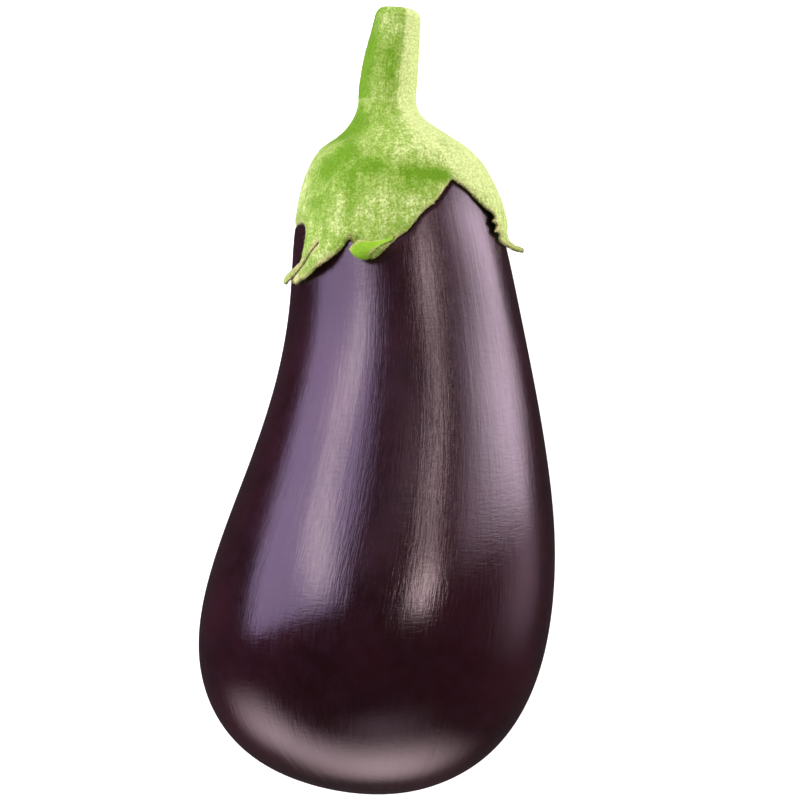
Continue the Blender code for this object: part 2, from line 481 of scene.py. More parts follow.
def add_piece(name, shape, material, marks):
    """Turns a bmesh in millimetres into a smooth piece that rides on the root body.

    A mark has a name, and a number or a place for each point, which the materials read.
    """
    bmesh.ops.recalc_face_normals(shape, faces=shape.faces)
    if shape.calc_volume(signed=True) < 0:
        bmesh.ops.reverse_faces(shape, faces=shape.faces)
    mesh = bpy.data.meshes.new(name)
    shape.to_mesh(mesh)
    shape.free()
    points = np.empty(len(mesh.vertices) * 3)
    mesh.vertices.foreach_get("co", points)
    mesh.vertices.foreach_set("co", points * MM)
    mesh.polygons.foreach_set("use_smooth", [True] * len(mesh.polygons))
    for label, values in marks:
        kind = "FLOAT" if np.ndim(values) == 1 else "FLOAT_VECTOR"
        layer = mesh.attributes.new(label, kind, "POINT")
        field = "value" if kind == "FLOAT" else "vector"
        layer.data.foreach_set(field, np.asarray(values, dtype=np.float32).ravel())
    mesh.materials.append(material)
    piece = add_object(name, mesh)
    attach(piece, "root")
    return piece


def closed_rings(rings, first_pole, last_pole):
    """A closed body through rings of points, with a pole at each end."""
    shape = bmesh.new()
    rows = [[shape.verts.new(point) for point in ring] for ring in rings]
    poles = [shape.verts.new(first_pole), shape.verts.new(last_pole)]
    count = len(rows[0])
    for one, other in zip(rows, rows[1:]):
        for index in range(count):
            after = (index + 1) % count
            shape.faces.new((one[index], one[after], other[after], other[index]))
    for pole, row in zip(poles, (rows[0], rows[-1])):
        for index in range(count):
            shape.faces.new((row[index], row[(index + 1) % count], pole))
    return shape


def grain_at(around, length):
    """Where the grain is read: once round a circle, and along the length in fruit lengths."""
    turn = np.radians(around)
    return np.stack([np.sin(turn), np.cos(turn), length / FRUIT_LENGTH], axis=-1)


def build_fruit(material, outline):
    """The skin, with its slow swells, the scar's dimple, and the press of the calyx on it."""
    polar = np.linspace(0.0, HALF_TURN, FRUIT_RINGS + 2)[1:-1]
    around = np.arange(FRUIT_SEGMENTS) * FULL_TURN / FRUIT_SEGMENTS
    polar, around = (grid.ravel() for grid in np.meshgrid(polar, around, indexing="ij"))
    reach = HALF_TURN - polar

    press = np.zeros(len(polar))
    covered = reach < FARTHEST_REACH
    flat = on_pattern(around[covered], reach[covered])
    depth = inside_margin(flat, outline)
    press[covered] = SKIN_PRESS * ease(-SKIN_PRESS_WIDTH, SKIN_PRESS_WIDTH, depth)
    press *= ease(FLARE_REACH / 2, FLARE_REACH, reach) * (1 - ease(*PRESS_ENDS, reach))

    turn = np.radians(around)
    plain = fruit_point(polar, around)
    swell = np.stack(
        [
            UNDULATION_TURNS * np.sin(turn),
            UNDULATION_TURNS * np.cos(turn),
            plain[:, 1] / UNDULATION_LENGTH,
        ],
        axis=-1,
    )
    press += UNDULATION * wander(swell) * np.sin(np.radians(polar))
    points = fruit_point(polar, around, press)
    from_scar = np.hypot(points[:, 0] - STATION_MIDDLE_X[0], points[:, 2] - STATION_MIDDLE_Z[0])
    blossom_half = polar < HALF_TURN / 2
    points[:, 1] += SCAR_DEPTH * (1 - ease(0.0, SCAR_RADIUS, from_scar)) * blossom_half
    points[:, 2] = np.maximum(points[:, 2], 0.0)

    poles = fruit_point(np.array([0.0, HALF_TURN]), np.zeros(2))
    poles[0, 1] += SCAR_DEPTH
    rings = points.reshape(FRUIT_RINGS, FRUIT_SEGMENTS, 3)
    # Each mark ends with its values at the two poles.
    grain = np.vstack([grain_at(around, points[:, 1]), (0.0, 0.0, -0.5), (0.0, 0.0, 0.5)])
    inner, outer = (SCAR_RADIUS * share for share in SCAR_FADES)
    scar = np.append((1 - ease(inner, outer, from_scar)) * blossom_half, (1.0, 0.0))
    bloom = np.append(1 - ease(*BLOOM_FADES, reach), (0.0, 1.0))
    marks = [("grain", grain), ("scar", scar), ("bloom", bloom)]
    piece = add_piece("fruit_skin", closed_rings(rings, *poles), material, marks)
    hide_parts("fruit")


def calyx_sheet(outline):
    """The calyx's flat pattern as triangles: its points and faces, with the eye left open."""
    eye_turn = np.arange(PATTERN_EYE_CORNERS) * 2 * math.pi / PATTERN_EYE_CORNERS
    eye = PATTERN_EYE * np.stack([np.sin(eye_turn), np.cos(eye_turn)], axis=-1)
    width = np.abs(outline).max() + PATTERN_PITCH
    triangle_height = PATTERN_PITCH * math.sqrt(3 / 4)
    columns = np.arange(-width, width, PATTERN_PITCH)
    rows = np.arange(-width, width, triangle_height)
    filling = np.array(
        [(x + PATTERN_PITCH / 2 * (index % 2), y) for index, y in enumerate(rows) for x in columns]
    )
    clear = PATTERN_PITCH * PATTERN_CLEARANCE
    filling = filling[inside_margin(filling, outline) > clear]
    filling = filling[np.hypot(filling[:, 0], filling[:, 1]) > PATTERN_EYE + clear]
    corners = [Vector(point) for point in np.vstack([outline, eye, filling])]
    margin_face = list(range(len(outline)))
    eye_indices = [len(outline) + step for step in range(PATTERN_EYE_CORNERS)]
    eye_edges = list(zip(eye_indices, eye_indices[1:] + eye_indices[:1]))
    triangles_inside, merge_distance = 1, 1e-5
    made = geometry.delaunay_2d_cdt(
        corners, eye_edges, [margin_face], triangles_inside, merge_distance
    )
    flat = np.array(made[0])
    faces = [face for face in made[2] if np.linalg.norm(flat[face].mean(axis=0)) > PATTERN_EYE]
    return flat, faces


def spots(table, around, onward):
    """Adds up soft spots. Each has a middle, a half width across and along, and a height."""
    total = np.zeros(len(around))
    for (middle_around, middle_onward), across, lengthwise, height in table:
        turned = (around - middle_around + HALF_TURN) % FULL_TURN - HALF_TURN
        away = (turned / across) ** 2
        total += height * np.exp(-away - ((onward - middle_onward) / lengthwise) ** 2)
    return total


def painted_facet_highlight(around):
    """How much paler the green is painted on the stem's lit side, a painted highlight, and on the calyx
    below it.
    """
    turned = (around + HALF_TURN) % FULL_TURN - HALF_TURN
    started = ease(STEM_RIDGE_AROUND - FACET_EDGE, STEM_RIDGE_AROUND + FACET_EDGE, turned)
    return FACET_PAINTED_HIGHLIGHT * started * (1 - ease(*FACET_FADES, turned))


def calyx_lift(around, reach):
    """How far the calyx's outside stands off the fruit."""
    return along(CALYX_LIFT, reach / LIFT_REACH) + spots(SWELLS, around, reach)


def calyx_outside(around, reach, lift):
    """The calyx's surface: the given lift off the fruit, and near the stem a flare up its side."""
    polar = HALF_TURN - reach
    collar = np.minimum(polar, HALF_TURN - FLARE_REACH)
    normal = fruit_normal(collar, around)
    point = fruit_point(collar, around) + normal * lift[:, None]
    ahead = unit(fruit_point(collar + ANGLE_STEP, around) - fruit_point(collar, around))
    top = stem_point(around, np.zeros(len(around)))
    share = np.clip(1 - reach / FLARE_REACH, 0.0, 1.0)[:, None]
    shoulder = FLARE_SHOULDER - FLARE_LOPSIDED * np.sin(np.radians(around))
    near = point + ahead * shoulder[:, None]
    neck = FLARE_NECK + NECK_LOPSIDED * np.sin(np.radians(around))
    below = top - neck[:, None] * LENGTHWISE
    flare = (
        (1 - share) ** 3 * point
        + 3 * (1 - share) ** 2 * share * near
        + 3 * (1 - share) * share**2 * below
        + share**3 * top
    )
    return np.where(share > 0, flare, point)


def fold_tips(flat, points):
    """Bends the calyx's tips; the points are one side of the sheet, in the order of the flat places."""
    for tip in FOLDS:
        depth = inside_margin(flat, on_pattern(*np.array(tip["stretch"]).T))
        bends = depth > 0
        started = ease(0.0, tip["fade"], depth[bends]) if tip["fade"] else np.ones(bends.sum())
        turn = np.radians(tip["turn"] * started)
        ends = np.array([tip["hinge"], tip["target"]])
        polar = HALF_TURN - ends[:, 1]
        foot, target = fruit_point(polar, ends[:, 0])
        up = fruit_normal(polar, ends[:, 0])[0]
        foot = foot + up * calyx_lift(*ends.T)[0]
        forward = target - foot
        forward = unit(forward - up * (forward @ up))
        bent = fold(points[bends], foot, forward, up, tip["radius"], turn, tip["bow"], tip["kept"])
        points[bends] = bent
    return points


def build_calyx(material, outline):
    """The calyx as one closed sheet. Returns its outside, for the down to grow on."""
    flat, faces = calyx_sheet(outline)
    around, reach = off_pattern(flat)
    depth = np.maximum(inside_margin(flat, outline), 0.0)
    thickness = MARGIN_THICKNESS + (SHEET_THICKNESS - MARGIN_THICKNESS) * ease(0, MARGIN_TAPER, depth)
    lift = calyx_lift(around, reach) - (SHEET_THICKNESS - thickness)
    outside = calyx_outside(around, reach, lift)
    inside = calyx_outside(around, reach, lift - thickness)
    in_flare = ease(0.0, FLARE_REACH, FLARE_REACH - reach)[:, None]
    axis = np.array([along(STEM_MIDDLE_X, 0.0), SEAM_Y, along(STEM_MIDDLE_Z, 0.0)])
    inward = unit((axis - outside) * CROSSWISE)
    inside = inside + inward * in_flare * SHEET_THICKNESS
    outside, inside = fold_tips(flat, outside), fold_tips(flat, inside)

    shape = bmesh.new()
    upper = [shape.verts.new(point) for point in outside]
    lower = [shape.verts.new(point) for point in inside]
    for face in faces:
        shape.faces.new([upper[index] for index in face])
        shape.faces.new([lower[index] for index in reversed(face)])
    edges = [pair for face in faces for pair in zip(face, face[1:] + face[:1])]
    directed = set(edges)
    for one, other in edges:
        if (other, one) not in directed:
            shape.faces.new((upper[other], upper[one], lower[one], lower[other]))

    grain = grain_at(around, -reach)
    # The tone holds the green's own patches and painted light and shade: the lit right flank, the shaded
    # left side, and the stem's painted highlight running onto the calyx.
    tone = spots(CALYX_TONES_AND_PAINTED_LIGHT, around, reach) + painted_facet_highlight(around) * (1 - ease(*FACET_ENDS, reach))
    marks = [
        ("grain", np.vstack([grain, grain])),
        ("margin", np.tile(depth, 2)),
        ("tone", np.tile(tone, 2)),
        ("inner", np.repeat((0.0, 1.0), len(flat))),
    ]
    piece = add_piece("calyx_sepals", shape, material, marks)
    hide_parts("calyx")
    ahead = fold_tips(flat, calyx_outside(around, reach + ANGLE_STEP, lift))
    return outside, np.array(faces), unit(ahead - outside), tone, DOWN_ON_CALYX


def build_down(material, sheets):
    """A nap of short pale hairs, each a thin spike with three sides and its foot under the surface.

    A sheet has its corners, its triangles, each corner's lie and tone, and its count of hairs.
    """
    chance = np.random.default_rng(DOWN_SEED)
    shape = bmesh.new()
    tones = []
    for points, faces, lie, tone, count in sheets:
        corners = points[faces]
        across = np.cross(corners[:, 1] - corners[:, 0], corners[:, 2] - corners[:, 0])
        outward = (corners.mean(axis=1) - points.mean(axis=0)) * CROSSWISE
        across *= np.sign((across * outward).sum())
        area = np.linalg.norm(across, axis=1)
        picked = chance.choice(len(faces), count, p=area / area.sum())
        normal = unit(across[picked])
        share = chance.dirichlet((1.0, 1.0, 1.0), count)[:, :, None]
        root = (corners[picked] * share).sum(axis=1) - normal * DOWN_THICKNESS
        lean = unit((lie[faces][picked] * share).sum(axis=1))
        heading = unit(lean + DOWN_SPREAD * chance.normal(size=(count, 3)) + DOWN_RISE * normal)
        rising = (heading * normal).sum(axis=1)
        heading = unit(heading + normal * np.maximum(DOWN_LOWEST - rising, 0.0)[:, None])
        tip = root + heading * chance.uniform(*DOWN_LENGTHS, count)[:, None]
        side = unit(np.cross(heading, normal)) * DOWN_THICKNESS / 2
        tones.append(np.repeat(tone[faces][picked].mean(axis=1), HAIR_CORNERS))
        for start, end, left, out in zip(root, tip, side, normal * DOWN_THICKNESS):
            foot = [shape.verts.new(place) for place in (start + left, start - left, start + out)]
            point = shape.verts.new(end)
            shape.faces.new(foot)
            for one, other in zip(foot, foot[1:] + foot[:1]):
                shape.faces.new((other, one, point))
    piece = add_piece("calyx_down", shape, material, [("tone", np.concatenate(tones))])


def rounded_edge(turn):
    """The share of its radius that the stem keeps at a turn round the edge of its cut."""
    return 1 - STEM_CUT_EDGE / STEM_RADII[-1] * (1 - math.cos(turn)) * STEM_CUT_ROUNDING


def stem_rings(around):
    """The stem's rings of points, from inside the calyx to the middle of the cut.

    Each ring has a cut mark: 0 on the side, 1 at the rim of the cut, and nearly 2 at its middle.
    """
    length = STEM_END_Y - SEAM_Y
    edge_share = STEM_CUT_EDGE / length
    rings = []
    cut = []
    for share in np.linspace(-STEM_ROOT / length, 1 - edge_share, STEM_RINGS):
        below = min(share, 0.0)
        above = np.full(len(around), max(share, 0.0))
        ring = stem_point(around, above, 1 + STEM_ROOT_TAPER * below)
        ring[:, 1] += below * length
        rings.append(ring)
        cut.append(0.0)
    for turn in np.linspace(0, math.pi / 2, STEM_CUT_STEPS)[1:]:
        share = 1 - edge_share + edge_share * math.sin(turn)
        rings.append(stem_point(around, np.full(len(around), share), rounded_edge(turn)))
        cut.append(math.sin(turn) ** STEM_CUT_SHARPNESS)
    for inward in STEM_CUT_RINGS:
        radius_share = rounded_edge(math.pi / 2) * inward
        rings.append(stem_point(around, np.ones(len(around)), radius_share))
        cut.append(1.0 + (1 - inward))
    return np.array(rings), cut


def build_stem(material):
    """The stem. Returns the side of it that shows, for the down to grow on."""
    around = np.arange(STEM_SEGMENTS) * FULL_TURN / STEM_SEGMENTS
    rings, cut = stem_rings(around)
    length = STEM_END_Y - SEAM_Y
    turns = np.tile(around, len(rings))
    shares = np.repeat((rings[:, :, 1].mean(axis=1) - SEAM_Y) / length, len(around))
    # The tone holds the stem's own patches, its painted shade on the left, and the painted highlight of
    # its lit side.
    tone = spots(STEM_TONES_AND_PAINTED_LIGHT, turns, shares) + painted_facet_highlight(turns)
    # Each mark ends with its values at the two poles.
    grain = grain_at(turns, rings[:, :, 1].ravel() - SEAM_Y)
    marks = [
        ("grain", np.vstack([grain, (0.0, 0.0, 0.0), (0.0, 0.0, length / FRUIT_LENGTH)])),
        ("cut", np.append(np.repeat(cut, len(around)), (0.0, 2.0))),
        ("tone", np.append(tone, (0.0, 0.0))),
    ]
    shape = closed_rings(rings, rings[0].mean(axis=0), rings[-1].mean(axis=0))
    piece = add_piece("stem_cut", shape, material, marks)
    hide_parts("stem")

    downy = slice(STEM_BARE_RINGS, STEM_RINGS)
    sides = rings[downy]
    index = np.arange(sides.shape[0] * len(around)).reshape(sides.shape[:2])
    near, far = index[:-1], index[1:]
    after, far_after = np.roll(near, -1, axis=1), np.roll(far, -1, axis=1)
    faces = np.stack([near, after, far_after, near, far_after, far], axis=-1).reshape(-1, 3)
    lie = np.tile(LENGTHWISE, (index.size, 1))
    tone = tone.reshape(len(rings), -1)[downy].ravel()
    return sides.reshape(-1, 3), faces, lie, tone, DOWN_ON_STEM


# --- finishes -----------------------------------------------------------------------------------


# Colours are linear red, green and blue.
SKIN_DARK = (0.0090, 0.0016, 0.0026)
SKIN_WARM = (0.022, 0.0042, 0.0072)
SKIN_PLUM = (0.020, 0.006, 0.012)
SCAR_TAN = (0.26, 0.15, 0.07)
DEEP_GREEN = (0.13, 0.35, 0.001)
LIME = (0.28, 0.50, 0.055)
PALE_LIME = (0.69, 0.90, 0.32)
OLIVE = (0.10, 0.19, 0.002)
FUZZ = (0.61, 0.80, 0.29)
DOWN_CREAM = (0.60, 0.81, 0.30)
DOWN_GREEN = (0.18, 0.40, 0.01)
MARGIN_CREAM = (0.66, 0.58, 0.26)
MARGIN_BROWN = (0.10, 0.055, 0.02)
INNER_GREEN = (0.22, 0.52, 0.008)
CUT_PITH = (0.62, 0.66, 0.36)
CUT_RING = (0.30, 0.36, 0.10)
WHITE = (1.0, 1.0, 1.0, 1.0)
PAPER_WHITE = (0.9, 0.9, 0.9, 1.0)

# How deep the bumps are, in millimetres.
SKIN_RIB = 0.07
SKIN_RIPPLE = 0.026
SKIN_STRAND = 0.045
SCAR_BUMP = 0.3
PATCH_BUMP = 0.25
FLECK_BUMP = 0.07
NAP_BUMP = 0.15

# Roughness: the skin's goes with the height of its strands, and the greens' with their flecks.
STRAND_HEIGHTS = (0.3, 0.7)
SKIN_ROUGHNESS = (0.13, 0.23)
SCAR_DULLS = 0.5
BLOOM_DULLS = 0.04
GREEN_ROUGHNESS = (0.5, 0.7)
DOWN_ROUGHNESS = 0.6
PAPER_ROUGHNESS = 0.9
GREEN_SPECULAR = 0.2

# Patches of the mottle: size in metres, cut and softness.
PATCHES = {
    "broad": (0.030, 0.5, 0.2),
    "fine": (0.004, 0.55, 0.2),
    "patches": (0.0065, 0.5, 0.22),
    "blotches": (0.0020, 0.5, 0.2),
    "flecks": (0.0006, 0.5, 0.16),
    "tufts": (0.003, 0.5, 0.2),
}
# Strands of the fibres: how many across and along the grain, wave and cut.
STRANDS = {
    "ribs": (13.0, 2.5, 0.3, 0.5),
    "strands": (85.0, 42.0, 0.5, 0.5),
    "ripples": (13.0, 230.0, 0.6, 0.5),
    "streaks": (17.0, 16.0, 0.9, 0.43),
    "nap": (2100.0, 1500.0, 2.0, 0.5),
}
STRAND_SOFTNESS = 0.14
# How much each effect shifts the tone of the green.
TONE_SHIFTS = {"patches": 0.5, "blotches": 0.6, "flecks": -0.35, "streaks": 0.3}
# The tones from which one colour goes over to the next.
DEEP_TO_LIME = (-1.0, 0.1)
LIME_TO_PALE = (-0.1, 1.0)
BARE_TO_FUZZY = (-1.0, 0.4)
GREEN_TO_CREAM_DOWN = (-1.2, 0.5)
# How far inside the calyx's margin its coloured edges fade out and are full.
CREAM_EDGE = (1.4, 0.2)
BROWN_EDGE = (0.55, 0.1)
# The cut marks between which the stem's side goes over to the cut, and the cut's ring to its pith.
SIDE_TO_CUT = (0.5, 1.0)
RING_TO_PITH = (1.1, 1.5)

# Sockets of the Mix node that take and give colours.
MIX_UNDER, MIX_OVER, MIX_RESULT = 6, 7, 2


def set_inputs(tree, node, inputs):
    """Links each input that is given as a socket, and sets the others."""
    for name, value in inputs.items():
        if isinstance(value, bpy.types.NodeSocket):
            tree.links.new(value, node.inputs[name])
        else:
            node.inputs[name].default_value = value


def add_node(tree, kind, inputs, **settings):
    """Adds a shader node, with its settings before its inputs."""
    node = tree.nodes.new("ShaderNode" + kind)
    for name, value in settings.items():
        setattr(node, name, value)
    set_inputs(tree, node, inputs)
    return node


def add_group(name, inputs, outputs):
    """Starts a node group, and returns its tree, the sockets it is given and its output node."""
    tree = bpy.data.node_groups.new(name, "ShaderNodeTree")
    for side, sockets in (("INPUT", inputs), ("OUTPUT", outputs)):
        for label, kind in sockets.items():
            tree.interface.new_socket(label, in_out=side, socket_type="NodeSocket" + kind)
    return tree, tree.nodes.new("NodeGroupInput").outputs, tree.nodes.new("NodeGroupOutput")


def use_group(tree, group, inputs):
    return add_node(tree, "Group", inputs, node_tree=group).outputs


def combine(tree, one, other, operation):
    return add_node(tree, "Math", {0: one, 1: other}, operation=operation).outputs[0]


def remap(tree, value, low, high, start=0.0, end=1.0, kind="LINEAR"):
    """A number that goes from start to end while the value goes from low to high."""
    inputs = {"Value": value, "From Min": low, "From Max": high, "To Min": start, "To Max": end}
    return add_node(tree, "MapRange", inputs, interpolation_type=kind).outputs["Result"]


def step_mask(tree, value, low, high):
    """A smooth mask that goes from 0 at low to 1 at high; low may be the greater."""
    return remap(tree, value, low, high, kind="SMOOTHSTEP")


def tint(tree, mask, under, over, strength=1.0):
    """Mixes one colour over another by a mask."""
    if strength != 1.0:
        mask = combine(tree, mask, strength, "MULTIPLY")
    inputs = {"Factor": mask}
    for socket, colour in ((MIX_UNDER, under), (MIX_OVER, over)):
        linked = isinstance(colour, bpy.types.NodeSocket)
        inputs[socket] = colour if linked else (*colour, 1.0)
    return add_node(tree, "Mix", inputs, data_type="RGBA").outputs[MIX_RESULT]


def add_bumps(tree, shader, bumps):
    """Lays bumps one on another, each a height and a depth in millimetres."""
    below = {}
    for height, depth in bumps:
        inputs = {"Height": height, "Distance": depth * MM, "Strength": 1.0, **below}
        below = {"Normal": add_node(tree, "Bump", inputs).outputs["Normal"]}
    set_inputs(tree, shader, below)


def mottle_group():
    """Soft patches: a mask of noise of one size, with the given cut and softness."""
    tree, given, output = add_group(
        "mottle",
        {"Place": "Vector", "Size": "Float", "Cut": "Float", "Softness": "Float"},
        {"Mask": "Float"},
    )
    noise_look = {"Scale": combine(tree, 1.0, given["Size"], "DIVIDE"), "Detail": 4.0, "Roughness": 0.6}
    cloud = add_node(tree, "TexNoise", {"Vector": given["Place"], **noise_look})
    low = combine(tree, given["Cut"], given["Softness"], "SUBTRACT")
    high = combine(tree, given["Cut"], given["Softness"], "ADD")
    set_inputs(tree, output, {"Mask": step_mask(tree, cloud.outputs["Fac"], low, high)})
    return tree


def fibre_group():
    """Fine strands that run with the grain: their height, and a mask of the brightest of them."""
    tree, given, output = add_group(
        "fibres",
        {"Grain": "Vector", "Across": "Float", "Along": "Float", "Wave": "Float", "Cut": "Float"},
        {"Height": "Float", "Mask": "Float"},
    )
    fineness = {"X": given["Across"], "Y": given["Across"], "Z": given["Along"]}
    stretch = add_node(tree, "CombineXYZ", fineness).outputs[0]
    place = add_node(tree, "VectorMath", {0: given["Grain"], 1: stretch}, operation="MULTIPLY")
    noise_look = {"Scale": 1.0, "Detail": 3.0, "Roughness": 0.55, "Distortion": given["Wave"]}
    strand = add_node(tree, "TexNoise", {"Vector": place.outputs[0], **noise_look}).outputs["Fac"]
    high = combine(tree, given["Cut"], STRAND_SOFTNESS, "ADD")
    mask = step_mask(tree, strand, given["Cut"], high)
    set_inputs(tree, output, {"Height": strand, "Mask": mask})
    return tree


def patch_mask(tree, mottle, place, look):
    size, cut, softness = PATCHES[look]
    inputs = {"Place": place, "Size": size, "Cut": cut, "Softness": softness}
    return use_group(tree, mottle, inputs)["Mask"]


def strand_look(tree, fibres, grain, look):
    across, lengthwise, wave, cut = STRANDS[look]
    inputs = {"Grain": grain, "Across": across, "Along": lengthwise, "Wave": wave, "Cut": cut}
    return use_group(tree, fibres, inputs)


def start_material(name):
    """A material with its tree, its shader, and the place and grain that its effects read."""
    material = bpy.data.materials.new(name)
    material.use_nodes = True
    tree = material.node_tree
    place = add_node(tree, "TexCoord", {}).outputs["Object"]
    grain = add_node(tree, "Attribute", {}, attribute_name="grain").outputs["Vector"]
    return material, tree, tree.nodes["Principled BSDF"], place, grain


def read_mark(tree, name):
    return add_node(tree, "Attribute", {}, attribute_name=name).outputs["Fac"]


def skin_material(mottle, fibres):
    """Dark purple skin: soft ribs, fine strands and cross ripples that break up the gloss."""
    material, tree, shader, place, grain = start_material("glossy_eggplant_skin")
    broad = patch_mask(tree, mottle, place, "broad")
    fine = patch_mask(tree, mottle, place, "fine")
    ribs = strand_look(tree, fibres, grain, "ribs")["Height"]
    strands = strand_look(tree, fibres, grain, "strands")["Height"]
    ripples = strand_look(tree, fibres, grain, "ripples")["Height"]
    colour = tint(tree, broad, SKIN_DARK, SKIN_WARM)
    colour = tint(tree, fine, colour, SKIN_PLUM, strength=0.5)
    scar = read_mark(tree, "scar")
    rough_scar = combine(tree, scar, fine, "MULTIPLY")
    colour = tint(tree, scar, colour, SCAR_TAN, strength=0.9)
    roughness = remap(tree, strands, *STRAND_HEIGHTS, *SKIN_ROUGHNESS)
    for mark, dulls in ((scar, SCAR_DULLS), (read_mark(tree, "bloom"), BLOOM_DULLS)):
        roughness = combine(tree, roughness, combine(tree, mark, dulls, "MULTIPLY"), "ADD")
    set_inputs(tree, shader, {"Base Color": colour, "Roughness": roughness})
    reliefs = ((ribs, SKIN_RIB), (ripples, SKIN_RIPPLE), (strands, SKIN_STRAND))
    add_bumps(tree, shader, (*reliefs, (rough_scar, SCAR_BUMP)))
    return material


def tissue_group(mottle, fibres):
    """Green tissue that goes from deep to pale by tone, with patches, streaks, flecks and a pale nap."""
    tree, given, output = add_group(
        "green_tissue",
        {"Place": "Vector", "Grain": "Vector", "Tone": "Float"},
        {"Colour": "Color", "Flecks": "Float", "Patches": "Float", "Nap": "Float"},
    )
    looks = ("patches", "blotches", "flecks")
    masks = {look: patch_mask(tree, mottle, given["Place"], look) for look in looks}
    masks["streaks"] = strand_look(tree, fibres, given["Grain"], "streaks")["Mask"]
    nap = strand_look(tree, fibres, given["Place"], "nap")
    # The tone carries painted light and painted shade as well as the green's own patches, and the
    # colours below follow it.
    tone = given["Tone"]
    for look, shift in TONE_SHIFTS.items():
        centred = combine(tree, masks[look], 0.5, "SUBTRACT")
        tone = combine(tree, tone, combine(tree, centred, shift, "MULTIPLY"), "ADD")
    colour = tint(tree, step_mask(tree, tone, *DEEP_TO_LIME), DEEP_GREEN, LIME)
    colour = tint(tree, step_mask(tree, tone, *LIME_TO_PALE), colour, PALE_LIME)
    colour = tint(tree, masks["flecks"], colour, OLIVE, strength=0.46)
    fuzz = combine(tree, nap["Mask"], step_mask(tree, tone, *BARE_TO_FUZZY), "MULTIPLY")
    colour = tint(tree, fuzz, colour, FUZZ, strength=0.35)
    reliefs = {"Flecks": masks["flecks"], "Patches": masks["patches"], "Nap": nap["Height"]}
    set_inputs(tree, output, {"Colour": colour, **reliefs})
    return tree


def green_material(name, tissue):
    """A green material with its tissue laid in, and everything but its colour joined up."""
    material, tree, shader, place, grain = start_material(name)
    look = use_group(tree, tissue, {"Place": place, "Grain": grain, "Tone": read_mark(tree, "tone")})
    roughness = remap(tree, look["Flecks"], 0.0, 1.0, *GREEN_ROUGHNESS)
    set_inputs(tree, shader, {"Roughness": roughness, "Specular IOR Level": GREEN_SPECULAR})
    bumps = (("Patches", PATCH_BUMP), ("Flecks", FLECK_BUMP), ("Nap", NAP_BUMP))
    add_bumps(tree, shader, [(look[name], depth) for name, depth in bumps])
    return material, tree, shader, look


def calyx_material(tissue):
    """Green calyx with a thin margin of cream and brown, and a brighter inside."""
    material, tree, shader, look = green_material("downy_calyx", tissue)
    margin = read_mark(tree, "margin")
    colour = tint(tree, read_mark(tree, "inner"), look["Colour"], INNER_GREEN, strength=0.85)
    cream = combine(tree, step_mask(tree, margin, *CREAM_EDGE), look["Patches"], "MULTIPLY")
    colour = tint(tree, cream, colour, MARGIN_CREAM, strength=0.8)
    brown = combine(tree, step_mask(tree, margin, *BROWN_EDGE), look["Flecks"], "MULTIPLY")
    colour = tint(tree, brown, colour, MARGIN_BROWN, strength=0.8)
    set_inputs(tree, shader, {"Base Color": colour})
    return material


def stem_material(tissue):
    """Green stem with a pale cut, ringed with a deeper green."""
    material, tree, shader, look = green_material("ribbed_stem", tissue)
    cut = read_mark(tree, "cut")
    pith = tint(tree, step_mask(tree, cut, *RING_TO_PITH), CUT_RING, CUT_PITH)
    pith = tint(tree, look["Flecks"], pith, OLIVE, strength=0.4)
    colour = tint(tree, step_mask(tree, cut, *SIDE_TO_CUT), look["Colour"], pith)
    set_inputs(tree, shader, {"Base Color": colour})
    return material


def down_material(mottle):
    """Cream down in tufts, greener where the tissue under it is deep, by its own colour or by painted
    shade.
    """
    material, tree, shader, place, _ = start_material("pale_down")
    cream = tint(tree, patch_mask(tree, mottle, place, "tufts"), DOWN_CREAM, FUZZ)
    pale = step_mask(tree, read_mark(tree, "tone"), *GREEN_TO_CREAM_DOWN)
    colour = tint(tree, pale, DOWN_GREEN, cream)
    finish = {"Roughness": DOWN_ROUGHNESS, "Specular IOR Level": GREEN_SPECULAR}
    set_inputs(tree, shader, {"Base Color": colour, **finish})
    return material


def paper_material():
    """White paper that glows a little, so that the ground is an even white."""
    material = bpy.data.materials.new("white_paper")
    material.use_nodes = True
    glow = {"Emission Color": WHITE, "Emission Strength": PAPER_GLOW}
    finish = {"Base Color": PAPER_WHITE, "Roughness": PAPER_ROUGHNESS}
    set_inputs(material.node_tree, material.node_tree.nodes["Principled BSDF"], {**finish, **glow})
    return material


# --- studio -------------------------------------------------------------------------------------

